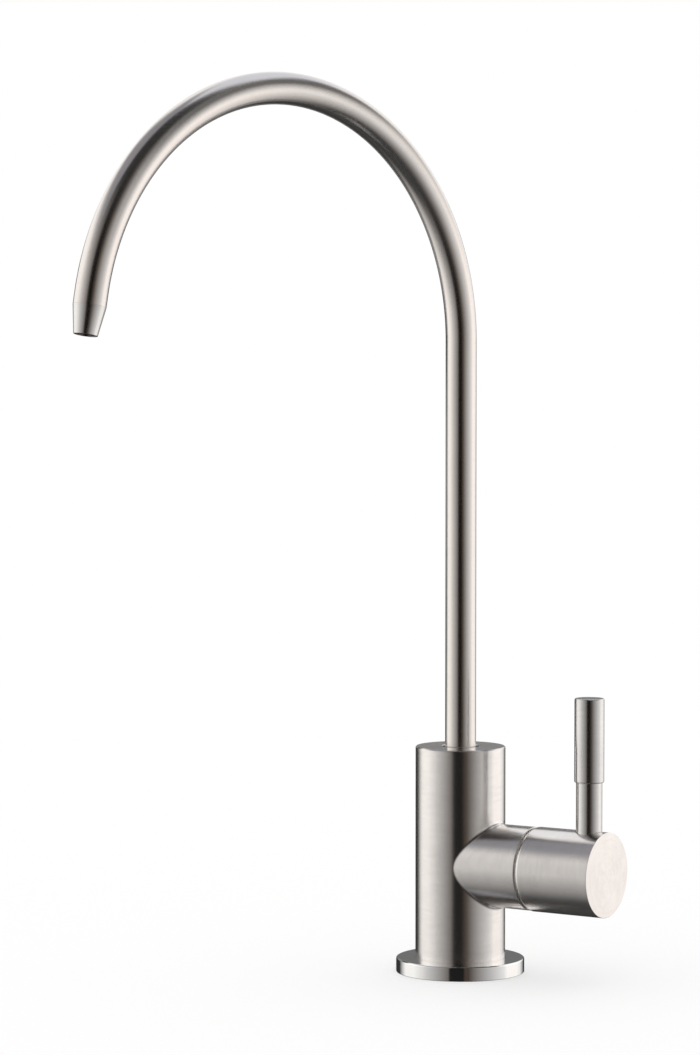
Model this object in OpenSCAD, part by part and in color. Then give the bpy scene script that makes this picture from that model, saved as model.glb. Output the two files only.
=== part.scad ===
// Drinking water tap with a swivel spout, a quarter-turn lever and a threaded shank for a deck hole.
// Millimetres. The deck is z = 0 and +Z is up. The arm points along +X, the spout to the front.

/* [Spout] */
// Outside diameter of the spout tube
tube_d = 12; // [10:0.5:14]
// Wall of the spout tube
tube_wall = 1; // [0.8:0.1:1.2]
// Height above the deck at which the bend starts
riser_h = 245.4; // [180:0.1:300]
// Radius of the bend at the tube's centre line
bend_r = 93.1; // [60:0.1:120]
// Sweep of the bend
bend_angle = 169.5; // [150:0.5:180]
// Straight tube after the bend
tail_len = 4.4; // [3:0.1:30]
// Turn of the spout from the arm at rest
spout_turn = -103.4; // [-180:0.1:180]
// Length of the nozzle below the tube
nozzle_len = 10.5; // [8:0.1:16]
// Outside diameter of the nozzle's mouth
mouth_d = 8.7; // [7.5:0.1:9.5]
// Rim of metal around the outlet at the mouth
mouth_rim = 0.65; // [0.5:0.05:1]
// Length of the nozzle's plug inside the tube
plug_len = 3.6; // [2.5:0.1:5]
// Length of the flow straightener in the nozzle
straightener_len = 5; // [3:0.1:6]

/* [Swivel] */
// Metal of the spigot around the tube
spigot_rim = 1.2; // [1:0.1:1.6]
// Depth of the spout's socket in the body
socket_depth = 26.2; // [24:0.2:32]
// Section of the spout's two seal rings
spout_ring_w = 1.8; // [1.5:0.1:2]
// Height of the plastic bearing ring
bearing_h = 3.5; // [2.5:0.1:4]
// Thickness of the snap ring
snap_t = 1.5; // [1.2:0.1:1.8]
// Thickness of the slip washer under the spigot
slip_t = 1.2; // [1:0.1:2]

/* [Body] */
// Diameter of the column
body_d = 35; // [33:0.5:40]
// Height of the column's top above the deck
body_h = 88.2; // [84:0.1:110]
// Bevel of the column's top edge
body_edge = 0.4; // [0.2:0.1:1]
// Height of the arm's axis above the deck
arm_z = 42.7; // [38:0.1:46]
// Diameter of the side boss
boss_d = 32.2; // [30:0.1:33]
// Length of the boss beyond the column
boss_len = 15.85; // [14:0.05:20]
// Bore of the water ways
way_d = 8; // [6:0.1:9]
// Bore of the drilled outlet way from valve to spout
outlet_way_d = 5; // [4:0.1:6]

/* [Base] */
// Diameter of the base plate
base_d = 50; // [46:0.5:60]
// Thickness of the base plate
base_h = 5.6; // [5:0.1:8]
// Edge radius of the base plate
base_edge = 0.7; // [0.3:0.1:1]
// Depth of the column's seat in the base plate
body_seat = 1; // [0.5:0.1:1.5]
// Thickness of the gasket under the base plate
gasket_t = 2.5; // [2:0.1:3]
// Width of the gasket's ring
gasket_w = 8; // [5:0.5:10]
// Metal rim of the base plate around the gasket
gasket_rim = 5; // [3:0.5:7]

/* [Valve] */
// Diameter of the cartridge's thread
cartridge_d = 20.9; // [20:0.1:22]
// Length of the cartridge inside the boss
cartridge_len = 23; // [22:0.1:25]
// Length of the cartridge's thread
cartridge_thread = 10; // [8:0.1:10.5]
// Width across flats of the cartridge's hexagon
cartridge_af = 22; // [20:0.1:22.4]
// Thickness of the cartridge's hexagon
cartridge_hex_h = 5; // [4:0.1:6]
// Length of the cartridge's neck past the hexagon
neck_len = 4; // [3.5:0.1:5]
// Diameter of the cartridge's neck
neck_d = 17; // [15.5:0.1:18]
// Diameter of the ceramic discs
disc_d = 15.6; // [15:0.1:16]
// Thickness of each ceramic disc
disc_t = 2.5; // [2:0.1:2.8]
// Thickness of the seal at the valve seat
seat_seal_t = 2.2; // [1.8:0.1:2.6]
// Diameter of the stem where it turns in the cartridge
stem_d = 10; // [9:0.1:10.5]
// Section of the small seal rings of the cartridge
valve_ring_w = 1.5; // [1.2:0.1:1.6]
// Diameter over the teeth of the stem's spline
spline_d = 8; // [7:0.1:8.4]
// Depth of a spline tooth
spline_depth = 0.4; // [0.3:0.05:0.6]
// Teeth of the spline
spline_teeth = 20; // [12:1:24]
// Turn of the handle from shut to open
handle_turn = 90; // [60:5:100]
// Width of the stem's stop lug
lug_angle = 25; // [15:1:40]

/* [Handle] */
// Gap between boss and hub
hub_gap = 0.5; // [0.3:0.05:1]
// Diameter of the hub
hub_d = 32.6; // [31.6:0.1:36]
// Length of the hub
hub_len = 31.35; // [28:0.05:38]
// Wall of the hub's skirt
hub_wall = 3.1; // [2.5:0.1:3.2]
// Length of the bevel on the hub's rim
rim_len = 1.9; // [0.5:0.1:3]
// Depth of the bevel on the hub's rim
rim_depth = 0.5; // [0.2:0.05:1]
// Bevel of the hub's end face
hub_edge = 0.35; // [0.2:0.05:1]
// Solid metal behind the hub's end face
hub_solid = 15.2; // [13:0.1:18]
// Metal between the spline's socket and the end face
end_wall = 4.7; // [3:0.1:6]
// Distance of the lever from the end face
lever_inset = 7.8; // [7:0.1:9]
// Diameter of the lever's rod
rod_d = 10; // [8:0.1:11]
// Diameter of the lever's grip
grip_d = 11.4; // [11:0.1:14]
// Height of the grip's foot above the arm's axis
grip_start = 35; // [25:0.1:45]
// Length of the grip
grip_len = 32.2; // [25:0.1:45]
// Edge radius of the grip
grip_edge = 0.6; // [0.3:0.1:1.2]
// Diameter of the rod's tenon inside the grip
tenon_d = 7; // [5:0.1:7.4]
// Metal of the grip above the tenon
grip_cap = 6; // [3:0.1:10]
// Thread of the lever and of the set screw below it
lever_thread_d = 6; // [5:0.1:6.4]
// Length of the set screw
set_screw_len = 5.4; // [4:0.1:6]

/* [Shank] */
// Diameter of the shank below the base
shank_d = 11.1; // [10:0.1:12.7]
// Length of the shank below the deck's face
shank_len = 50; // [45:0.5:70]
// Plain neck of the shank below the deck's face
shank_neck = 5; // [3:0.1:8]
// Pitch of the shank's thread
thread_pitch = 1.06; // [0.8:0.01:1.5]
// Length of the shank's stub inside the body
stub_len = 13.4; // [10:0.1:15]
// Bore for the water tube in the shank's end
inlet_d = 6.5; // [6:0.1:7]
// Depth of the bore for the water tube
inlet_depth = 20; // [15:0.5:25]
// Thickness of the flat seal on the shank's stub
shank_seal_t = 1.2; // [1:0.1:2]

/* [Deck clamp] */
// Deck thickness at which the clamp stands
deck_t = 20; // [10:0.5:24]
// Diameter of the rubber washer
rubber_d = 28; // [24:0.5:34]
// Thickness of the rubber washer
rubber_t = 3; // [2:0.1:4]
// Diameter of the spreader washer
spreader_d = 32; // [28:0.5:36]
// Thickness of the spreader washer
spreader_t = 4; // [3:0.1:5]
// Diameter of the lock washer
lock_d = 19; // [17:0.5:22]
// Thickness of the lock washer
lock_t = 1.2; // [0.8:0.1:2]
// Width across flats of the nut
nut_af = 17.5; // [16:0.1:19]
// Height of the nut
nut_h = 7.5; // [6:0.1:9]

/* [Hidden] */
$fn = 96;

// Clearances
run = 0.05;        // radial, between a turning piece and its bore
seat = 0.05;       // radial, between pieces that are put together and stay
ring_play = 0.03;  // radial, around a seal ring in its groove
end_play = 0.15;   // axial, between a turning piece and its stop
loose = 0.25;      // radial, washers on the shank and the lever's spot face
thread_step = 0.1; // radial, from the shank's plain neck down to its thread
over = 1;          // cutters run past the faces that they cut
groove_play = 0.3; // axial, of a ring in its groove
land = 1.2;        // metal between two grooves
break_edge = 0.25; // small bevels that break an edge
draw = 0.02;       // radial, by which the tube's straight end is drawn down

// Ledges, walls and depths that no other piece sets
collar_step = 0.35;  // shank's collar, beyond its plain neck
stub_step = 0.6;     // shank's stub, inside its plain neck
thread_share = 0.55; // depth of the thread's groove for each unit of pitch
inlet_ledge = 0.65;  // stops the water tube in the shank
seal_ledge = 0.4;    // bore of the shank's seal, beyond the water way
slip_ledge = 1.75;   // carries the slip washer in the socket
plenum_h = 8;        // height of the chamber below the socket
snap_bite = 0.65;    // snap ring's reach into the body
snap_depth = 1;      // depth of the snap ring's groove in the spigot
snap_gap = 50;       // angle of the snap ring's opening
bearing_depth = 0.8; // depth of the bearing ring's groove
tube_ledge = 1;      // carries the tube in the spigot
seat_ledge = 0.15;   // wall left around the flow straightener at the mouth
mouth_taper = 1.6;   // water way above the flow straightener
nose_gap = 0.4;      // from the cartridge's nose to the valve seat
chamber_step = 0.25; // valve chamber, inside the thread
disc_play = 0.1;     // radial, around the ceramic discs
nose_wall = 1.1;     // cartridge's wall around the discs
window_len = 4;      // cartridge's water windows, along the arm
window_w = 9;        // and across it
window_gap = 0.5;    // from the moving disc to the windows
window_land = 0.8;   // from the windows to the end of the disc chamber
flange_play = 1.9;   // radial, around the stem's flange
stem_flange_t = 1.8; // thickness of the stem's flange
driver_w = 4;        // width of the stem's driver
driver_depth = 1.2;  // depth of the driver in the moving disc
stop_floor = 1.2;    // neck left under the stop's recess
lug_inset = 1;       // lug's tip, inside the neck
lug_play = 2;        // angle that the stop leaves past each end of the turn
clip_t = 0.8;        // thickness of the stem's clip
clip_rim = 1.5;      // clip's rim, beyond the stem
clip_depth = 0.8;    // depth of the clip's groove
clip_land = 0.8;     // stem past the clip's groove
clip_gap = 60;       // angle of the clip's opening
hole_in = 3;         // inner radius of the discs' holes
hole_rim = 1.6;      // disc left outside its holes
hole_angle = 80;     // angle of each hole
key_w = 3;           // width of the fixed disc's keys
key_reach = 0.8;     // keys, beyond the disc
socket_play = 0.5;   // from the stem's end to the end of its socket
spot_depth = 0.3;    // spot face, below the lowest point of its edge
stud_gap = 0.2;      // from the set screw to the lever's stud
wear_wall = 0.2;     // from the hub's bore to the wear ring
wear_rim = 1.2;      // boss left outside the wear ring
wear_depth = 1.2;    // depth of the wear ring's groove
tooth_root = 0.36;   // half width of a spline tooth at its root, per step of the teeth
tooth_tip = 0.14;    // the same at its tip
vane_t = 0.7;        // wall and vanes of the flow straightener
spreader_rim = 2.5;  // outer rib of the spreader washer
bearing_slit = 1;    // slit of the bearing ring

steel = [0.78, 0.765, 0.745];
polished = [0.85, 0.845, 0.84];
brass = [0.72, 0.58, 0.30];
rubber = [0.08, 0.08, 0.085];
white_plastic = [0.90, 0.90, 0.88];
black_plastic = [0.12, 0.12, 0.125];
ceramic = [0.93, 0.92, 0.90];
silicone = [0.62, 0.16, 0.12];

// Base and shank, along Z
body_z0 = base_h - body_seat;
shank_r = shank_d / 2;
collar_r = shank_r + collar_step;
stub_r = shank_r - stub_step;
stub_top = body_z0 + stub_len;
thread_crest = shank_r - thread_step;
thread_root = thread_crest - thread_share * thread_pitch;
shank_way_r = inlet_d / 2 - inlet_ledge;
gasket_r = base_d / 2 - gasket_rim;

// Swivel, along Z
socket_r = tube_d / 2 + spigot_rim + run;
spigot_r = socket_r - run;
socket_z = body_h - socket_depth;
plenum_r = socket_r - slip_ledge;
spigot_z0 = socket_z + slip_t + end_play;
spigot_z1 = body_h - end_play;
ring_groove = spout_ring_w + groove_play;
ring_z = [spigot_z0 + land, spigot_z0 + land + ring_groove + land];
ring_floor = socket_r - 2 * ring_play - spout_ring_w;
snap_groove = snap_t + 2 * end_play;
snap_z = ring_z[1] + ring_groove + land;
snap_out = socket_r + snap_bite;
snap_in = spigot_r - snap_depth;
bearing_groove = bearing_h + groove_play;
bearing_z = snap_z + snap_groove + land;
bearing_in = spigot_r - bearing_depth;
tube_z0 = bearing_z + bearing_groove + land;
bore_r = tube_d / 2 - tube_wall;
spigot_way_r = bore_r - tube_ledge;

// Nozzle, along the outlet
straightener_r = mouth_d / 2 - seat_ledge;
straightener_end = mouth_taper + straightener_len;

// Valve, along X
body_r = body_d / 2;
boss_end = body_r + boss_len;
nose_x = boss_end - cartridge_len;
seat_x = nose_x - nose_gap;
chamber_r = cartridge_d / 2 - chamber_step;
thread_x = boss_end - cartridge_thread;
disc_r = disc_d / 2;
disc_bore_r = disc_r + disc_play;
nose_r = disc_bore_r + nose_wall;
fixed_x = seat_x + seat_seal_t;
moving_x = fixed_x + disc_t + run;
moving_end = moving_x + disc_t;
window_x = moving_end + window_gap;
disc_bore_end = window_x + window_len + window_land;
outlet_from = [thread_x - outlet_way_d / 2, arm_z + chamber_r - outlet_way_d / 2];
outlet_to = [plenum_r - outlet_way_d / 2, socket_z - outlet_way_d / 2];
hex_end = boss_end + cartridge_hex_h;
neck_end = hex_end + neck_len;
stem_r = stem_d / 2;
stem_flange_r = disc_bore_r - flange_play;
driver_len = 2 * stem_flange_r;
valve_groove = valve_ring_w + groove_play;
stem_ring_x = [disc_bore_end + land, disc_bore_end + 2 * land + valve_groove];
stem_ring_floor = stem_r + run - 2 * ring_play - valve_ring_w;
housing_ring_x = boss_end - 2 * break_edge - valve_groove;
housing_ring_floor = cartridge_d / 2 + seat - 2 * ring_play - valve_ring_w;
lug_t = neck_len - stop_floor;
lug_r = neck_d / 2 - lug_inset;
clip_x = neck_end + end_play;
clip_r = stem_r + clip_rim;
clip_floor = stem_r - clip_depth;
shoulder_x = clip_x + clip_t + 2 * end_play + clip_land;
hole_out = disc_r - hole_rim;
key_r = disc_r + key_reach;

// Handle, along X
boss_r = boss_d / 2;
hub_r = hub_d / 2;
hub_x0 = boss_end + hub_gap;
hub_x1 = hub_x0 + hub_len;
hub_bore_r = hub_r - hub_wall;
hub_floor = hub_x1 - hub_solid;
socket_end = hub_x1 - end_wall;
stem_end = socket_end - socket_play;
lever_x = hub_x1 - lever_inset;
spot_r = rod_d / 2 + loose;
lever_seat = sqrt(hub_r * hub_r - spot_r * spot_r) - spot_depth;
screw_z0 = spline_d / 2 + seat;
screw_z1 = screw_z0 + set_screw_len;
stud_z0 = screw_z1 + stud_gap;
lever_r = lever_thread_d / 2 - seat;
wear_in = hub_bore_r + wear_wall;
wear_out = boss_r - wear_rim;

// Deck clamp, along Z
rubber_z = -deck_t - rubber_t;
spreader_z = rubber_z - spreader_t;
lock_z = spreader_z - lock_t;
nut_z = lock_z - nut_h;
washer_r = shank_r + loose;

// Frames

// The arm's axis as local Z, with local -X up
module along_arm(x = 0) {
    translate([x, 0, arm_z]) rotate([0, 90, 0]) children();
}

// The lever's axis as local Z, measured from the arm's axis
module along_lever() {
    translate([lever_x, 0, arm_z]) children();
}

// The spout's own plane, with the outlet along local +X
module at_spout() {
    rotate([0, 0, spout_turn]) children();
}

// The outlet's axis as local Z along the flow, from the end of the bend
module at_outlet(s = 0) {
    translate([bend_r, 0, riser_h]) rotate([0, bend_angle, 0]) translate([-bend_r, 0, s]) children();
}

// Shared shapes

module disc(r, h, z = 0) {
    translate([0, 0, z]) cylinder(r = r, h = h);
}

module ring(r_out, r_in, h, z = 0) {
    translate([0, 0, z]) difference() {
        cylinder(r = r_out, h = h);
        translate([0, 0, -over]) cylinder(r = r_in, h = h + 2 * over);
    }
}

// Round bar with its two edges rounded by a quarter circle
module rounded_bar(r, h, edge) {
    rotate_extrude() {
        square([r - edge, h]);
        translate([0, edge]) square([r, h - 2 * edge]);
        for (z = [edge, h - edge]) translate([r - edge, z]) circle(edge);
    }
}

// Round bar whose far edge is bevelled
module bevelled_bar(r, h, edge) {
    rotate_extrude() polygon([[0, 0], [r, 0], [r, h - edge], [r - edge, h], [0, h]]);
}

// Seal ring that reaches out to r_out, centred in a groove that starts at z
module seal_ring(r_out, w, z, groove) {
    translate([0, 0, z + groove / 2]) rotate_extrude() translate([r_out - w / 2, 0]) circle(w / 2);
}

// Piece of a ring between two angles
module sector(r_in, r_out, h, from, to, z = 0) {
    translate([0, 0, z]) rotate([0, 0, from]) rotate_extrude(angle = to - from)
        translate([r_in, 0]) square([r_out - r_in, h]);
}

// Two holes for water through a ceramic disc, centred on the given angle and opposite it
module disc_holes(angle, h) {
    for (a = [angle, angle + 180])
        sector(hole_in, hole_out, h, a - hole_angle / 2, a + hole_angle / 2);
}

// Toothed outline of the stem's spline and of its socket
module spline(r, depth, teeth) {
    step = 360 / teeth;
    polygon([
        for (i = [0 : teeth - 1])
            for (p = [[-tooth_root, r - depth], [-tooth_tip, r], [tooth_tip, r], [tooth_root, r - depth]])
                p[1] * [cos((i + p[0]) * step), sin((i + p[0]) * step)]
    ]);
}

// Hole drilled from p to q in the plane of the arm
module drill(p, q, d) {
    v = q - p;
    translate([p[0], 0, p[1]]) rotate([0, atan2(v[0], v[1]), 0]) cylinder(d = d, h = norm(v));
}

// Fixed pieces

module body() {
    color(steel) difference() {
        union() {
            translate([0, 0, body_z0]) bevelled_bar(body_r, body_h - body_z0, body_edge);
            along_arm() bevelled_bar(boss_r, boss_end, break_edge);
        }
        // socket of the spout, with the snap ring's groove and the chamber below
        disc(socket_r, socket_depth + over, socket_z);
        translate([0, 0, body_h - break_edge])
            cylinder(r1 = socket_r, r2 = socket_r + break_edge + over, h = break_edge + over);
        disc(snap_out + end_play, snap_groove, snap_z);
        disc(plenum_r, plenum_h + over, socket_z - plenum_h);
        // inlet way from the shank's stub to the valve seat
        disc(stub_r + seat, stub_len + shank_seal_t + over, body_z0 - over);
        disc(way_d / 2, arm_z - stub_top, stub_top);
        along_arm() disc(way_d / 2, seat_x + over);
        translate([0, 0, arm_z]) sphere(d = way_d);
        // valve chamber, thread of the cartridge and groove of the wear ring
        along_arm(seat_x) disc(chamber_r, cartridge_len + over);
        along_arm(thread_x) disc(cartridge_d / 2 + seat, cartridge_thread + over);
        along_arm(boss_end - wear_depth) ring(wear_out + seat, wear_in - seat, wear_depth + over);
        // outlet way from the valve chamber to the chamber below the spout
        drill(outlet_from, outlet_to, outlet_way_d);
    }
}

module base_plate() {
    color(polished) difference() {
        rounded_bar(base_d / 2, base_h, base_edge);
        disc(body_r + seat, body_seat + over, body_z0);
        disc(collar_r + seat, base_h, 0);
        disc(gasket_r + seat, gasket_t + over, -over);
    }
}

module base_gasket() {
    color(rubber) ring(gasket_r, gasket_r - gasket_w, gasket_t);
}

module shank() {
    turns = floor((shank_len - shank_neck) / thread_pitch) - 1;
    z_end = -shank_neck - turns * thread_pitch;
    color(brass) difference() {
        rotate_extrude() polygon(concat(
            [[0, stub_top], [stub_r - break_edge, stub_top], [stub_r, stub_top - break_edge]],
            [[stub_r, body_z0], [collar_r, body_z0], [collar_r, gasket_t], [shank_r, gasket_t]],
            [[shank_r, -shank_neck], [thread_crest, -shank_neck]],
            [for (i = [1 : turns], p = [[thread_root, 0.5], [thread_crest, 1]])
                [p[0], -shank_neck - (i - 1 + p[1]) * thread_pitch]],
            [[thread_root, z_end - thread_pitch / 2], [thread_root, -shank_len], [0, -shank_len]]
        ));
        disc(shank_way_r, stub_top + shank_len + 2 * over, -shank_len - over);
        disc(inlet_d / 2, inlet_depth + over, -shank_len - over);
    }
}

module shank_seal() {
    color(white_plastic) ring(stub_r - seat, shank_way_r + seal_ledge, shank_seal_t, stub_top);
}

module slip_washer() {
    color(white_plastic) ring(socket_r - seat, plenum_r, slip_t, socket_z);
}

module cartridge_housing() {
    stop_from = 180 - lug_angle / 2 - lug_play;
    stop_to = stop_from + handle_turn + lug_angle + 2 * lug_play;
    color(brass) difference() {
        union() {
            along_arm(nose_x) disc(nose_r, cartridge_len);
            along_arm(thread_x) bevelled_bar(cartridge_d / 2, cartridge_thread, break_edge);
            along_arm(boss_end) cylinder(d = cartridge_af / cos(30), h = cartridge_hex_h, $fn = 6);
            along_arm(hex_end) disc(neck_d / 2, neck_len);
        }
        along_arm(nose_x) disc(disc_bore_r, disc_bore_end - nose_x + over, -over);
        along_arm(disc_bore_end) disc(stem_r + run, neck_end - disc_bore_end + over);
        // side windows for the water, and the fixed disc's two key slots
        translate([window_x, -window_w / 2, arm_z - chamber_r]) cube([window_len, window_w, 2 * chamber_r]);
        translate([nose_x - over, -chamber_r, arm_z - key_w / 2 - seat])
            cube([fixed_x + disc_t - nose_x + over, 2 * chamber_r, key_w + 2 * seat]);
        along_arm(housing_ring_x) ring(cartridge_d, housing_ring_floor, valve_groove);
        // quarter-turn stop for the stem's lug
        along_arm(neck_end - lug_t - end_play)
            sector(stem_r, neck_d, lug_t + end_play + over, stop_from, stop_to);
    }
}

module housing_o_ring() {
    color(rubber) along_arm()
        seal_ring(cartridge_d / 2 + seat - ring_play, valve_ring_w, housing_ring_x, valve_groove);
}

module seat_seal() {
    color(silicone) along_arm(seat_x) ring(disc_r, hole_out + disc_play, seat_seal_t);
}

module fixed_disc() {
    color(ceramic) difference() {
        union() {
            along_arm(fixed_x) disc(disc_r, disc_t);
            translate([fixed_x, -key_r, arm_z - key_w / 2]) cube([disc_t, 2 * key_r, key_w]);
        }
        along_arm(fixed_x - over) disc_holes(90, disc_t + 2 * over);
    }
}

module wear_ring() {
    color(white_plastic) along_arm(boss_end - wear_depth)
        ring(wear_out, wear_in, wear_depth + hub_gap - end_play);
}

// Spout

// Bar of radius r along the spout's centre line, run past both ends by the given length
module spout_bar(r, past = 0) {
    disc(r, riser_h - tube_z0 + past, tube_z0 - past);
    translate([bend_r, 0, riser_h]) rotate([90, 0, 180])
        rotate_extrude(angle = bend_angle) translate([bend_r, 0]) circle(r);
    at_outlet(-over) disc(r - draw, tail_len + past + over);
}

module spout_tube() {
    color(steel) at_spout() difference() {
        spout_bar(tube_d / 2);
        spout_bar(bore_r, over);
    }
}

module spout_nozzle() {
    color(steel) at_spout() at_outlet(tail_len) difference() {
        union() {
            cylinder(r1 = tube_d / 2, r2 = mouth_d / 2, h = nozzle_len);
            disc(bore_r - seat, plug_len + over, -plug_len);
        }
        disc(straightener_r, straightener_end + plug_len + over, -plug_len - over);
        disc(mouth_d / 2 - mouth_rim, nozzle_len + over, 0);
    }
}

module flow_straightener() {
    vane_len = 2 * straightener_r - vane_t;
    color(white_plastic) at_spout() at_outlet(tail_len + mouth_taper) {
        ring(straightener_r - seat, straightener_r - vane_t, straightener_len);
        for (a = [0, 90]) rotate([0, 0, a])
            translate([-vane_len / 2, -vane_t / 2, 0]) cube([vane_len, vane_t, straightener_len]);
    }
}

module spout_spigot() {
    color(steel) difference() {
        disc(spigot_r, spigot_z1 - spigot_z0, spigot_z0);
        disc(spigot_way_r, spigot_z1 - spigot_z0 + 2 * over, spigot_z0 - over);
        disc(tube_d / 2 + seat, spigot_z1 - tube_z0 + over, tube_z0);
        for (z = ring_z) ring(socket_r + over, ring_floor, ring_groove, z);
        ring(socket_r + over, snap_in, snap_groove, snap_z);
        ring(socket_r + over, bearing_in, bearing_groove, bearing_z);
    }
}

module bearing_ring() {
    color(white_plastic) at_spout() difference() {
        ring(socket_r - ring_play, bearing_in + ring_play, bearing_h, bearing_z + groove_play / 2);
        translate([0, -bearing_slit / 2, bearing_z]) cube([socket_r + over, bearing_slit, bearing_groove]);
    }
}

module snap_ring() {
    color(polished) at_spout() difference() {
        ring(snap_out, snap_in + end_play, snap_t, snap_z + end_play);
        sector(0, snap_out + over, snap_groove + over, -snap_gap / 2, snap_gap / 2, snap_z - over / 2);
    }
}

module spout_o_rings() {
    color(rubber) for (z = ring_z) seal_ring(socket_r - ring_play, spout_ring_w, z, ring_groove);
}

// Handle

module handle_hub() {
    color(steel) difference() {
        along_arm(hub_x0) rotate_extrude() polygon([
            [0, 0], [hub_r - rim_depth, 0], [hub_r, rim_len],
            [hub_r, hub_len - hub_edge], [hub_r - hub_edge, hub_len], [0, hub_len]
        ]);
        along_arm(hub_x0) disc(hub_bore_r, hub_floor - hub_x0 + over, -over);
        along_arm(hub_floor - over) linear_extrude(socket_end - hub_floor + over)
            spline(spline_d / 2 + seat, spline_depth, spline_teeth);
        along_lever() disc(lever_thread_d / 2, hub_r + over);
        along_lever() disc(spot_r, hub_r, lever_seat);
    }
}

module lever_rod() {
    tenon_end = grip_start + grip_len - grip_cap;
    color(steel) along_lever() {
        disc(lever_r, lever_seat - stud_z0 + over, stud_z0);
        disc(rod_d / 2, grip_start - lever_seat, lever_seat);
        translate([0, 0, lever_seat]) bevelled_bar(tenon_d / 2, tenon_end - lever_seat, break_edge);
    }
}

module lever_grip() {
    color(steel) along_lever() difference() {
        translate([0, 0, grip_start]) rounded_bar(grip_d / 2, grip_len, grip_edge);
        disc(tenon_d / 2 + seat, grip_len - grip_cap + over + seat, grip_start - over);
    }
}

module set_screw() {
    key_af = lever_thread_d / 2;
    key_depth = set_screw_len / 2;
    color(black_plastic) along_lever() difference() {
        translate([0, 0, screw_z0]) bevelled_bar(lever_r, set_screw_len, break_edge);
        translate([0, 0, screw_z1 - key_depth])
            cylinder(d = key_af / cos(30), h = key_depth + over, $fn = 6);
    }
}

module cartridge_stem() {
    flange_x = disc_bore_end - end_play - stem_flange_t;
    driver_x = moving_end - driver_depth + run;
    lug_from = 180 - lug_angle / 2;
    color(brass) difference() {
        union() {
            translate([driver_x, -driver_len / 2, arm_z - driver_w / 2])
                cube([flange_x - driver_x, driver_len, driver_w]);
            along_arm(flange_x) disc(stem_flange_r, stem_flange_t);
            along_arm(flange_x + stem_flange_t / 2) disc(stem_r, shoulder_x - flange_x - stem_flange_t / 2);
            along_arm(neck_end - lug_t)
                sector(stem_r / 2, lug_r, lug_t - end_play, lug_from, lug_from + lug_angle);
            along_arm(shoulder_x - over) linear_extrude(stem_end - shoulder_x + over)
                spline(spline_d / 2, spline_depth, spline_teeth);
        }
        for (x = stem_ring_x) along_arm(x) ring(stem_r + over, stem_ring_floor, valve_groove);
        along_arm(clip_x - end_play / 2) ring(stem_r + over, clip_floor, clip_t + end_play);
    }
}

module moving_disc() {
    color(ceramic) difference() {
        along_arm(moving_x) disc(disc_r - disc_play, disc_t);
        along_arm(moving_x - over) disc_holes(0, disc_t + 2 * over);
        translate([moving_end - driver_depth, -disc_r - over, arm_z - driver_w / 2 - run])
            cube([driver_depth + over, 2 * (disc_r + over), driver_w + 2 * run]);
    }
}

module stem_o_rings() {
    color(rubber) for (x = stem_ring_x)
        along_arm() seal_ring(stem_r + run - ring_play, valve_ring_w, x, valve_groove);
}

module stem_clip() {
    color(polished) along_arm(clip_x) difference() {
        ring(clip_r, clip_floor + ring_play, clip_t);
        sector(0, clip_r + over, clip_t + 2 * over, -clip_gap / 2, clip_gap / 2, -over);
    }
}

// Deck clamp

module rubber_washer() {
    color(rubber) ring(rubber_d / 2, washer_r, rubber_t, rubber_z);
}

module spreader_washer() {
    dish = spreader_t / 2;
    color(black_plastic) difference() {
        ring(spreader_d / 2, washer_r, spreader_t, spreader_z);
        ring(spreader_d / 2 - spreader_rim, (lock_d + spreader_rim) / 2, dish + over, spreader_z - over);
    }
}

module lock_washer() {
    color(polished) ring(lock_d / 2, washer_r, lock_t, lock_z);
}

module mounting_nut() {
    corner_r = nut_af / 2 / cos(30);
    bevel = corner_r - nut_af / 2;
    color(brass) translate([0, 0, nut_z]) difference() {
        intersection() {
            cylinder(r = corner_r, h = nut_h, $fn = 6);
            rotate_extrude() polygon([
                [0, 0], [nut_af / 2, 0], [corner_r, bevel / 2],
                [corner_r, nut_h - bevel / 2], [nut_af / 2, nut_h], [0, nut_h]
            ]);
        }
        disc(thread_crest + seat, nut_h + 2 * over, -over);
    }
}

body();
base_plate();
base_gasket();
shank();
shank_seal();
slip_washer();
cartridge_housing();
housing_o_ring();
seat_seal();
fixed_disc();
wear_ring();
spout_tube();
spout_nozzle();
flow_straightener();
spout_spigot();
bearing_ring();
snap_ring();
spout_o_rings();
handle_hub();
lever_rod();
lever_grip();
set_screw();
cartridge_stem();
moving_disc();
stem_o_rings();
stem_clip();
rubber_washer();
spreader_washer();
lock_washer();
mounting_nut();
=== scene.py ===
"""Looks of a drinking water tap: turned satin steel around its CAD frame, in a plain pale studio."""

import math

import bmesh
import bpy
import numpy as np
from bpy.props import FloatProperty, FloatVectorProperty, PointerProperty
from bpy.types import Operator, Panel, PropertyGroup
from mathutils import Matrix, Vector


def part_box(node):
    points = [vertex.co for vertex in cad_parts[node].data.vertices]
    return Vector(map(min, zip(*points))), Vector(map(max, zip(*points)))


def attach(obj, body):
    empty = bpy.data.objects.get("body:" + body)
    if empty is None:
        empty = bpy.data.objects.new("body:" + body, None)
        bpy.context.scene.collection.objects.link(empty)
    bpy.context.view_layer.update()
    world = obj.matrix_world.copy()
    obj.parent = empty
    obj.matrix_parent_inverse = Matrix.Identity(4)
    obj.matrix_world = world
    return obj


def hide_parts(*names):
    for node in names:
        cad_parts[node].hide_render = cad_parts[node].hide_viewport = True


bl_info = {
    "name": "Drinking water tap",
    "version": (1, 0, 0),
    "blender": (4, 5, 0),
    "location": "3D View > Sidebar > Tap",
    "description": "Turned pieces, finishes and studio of a drinking water tap",
    "category": "Object",
}

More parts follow.
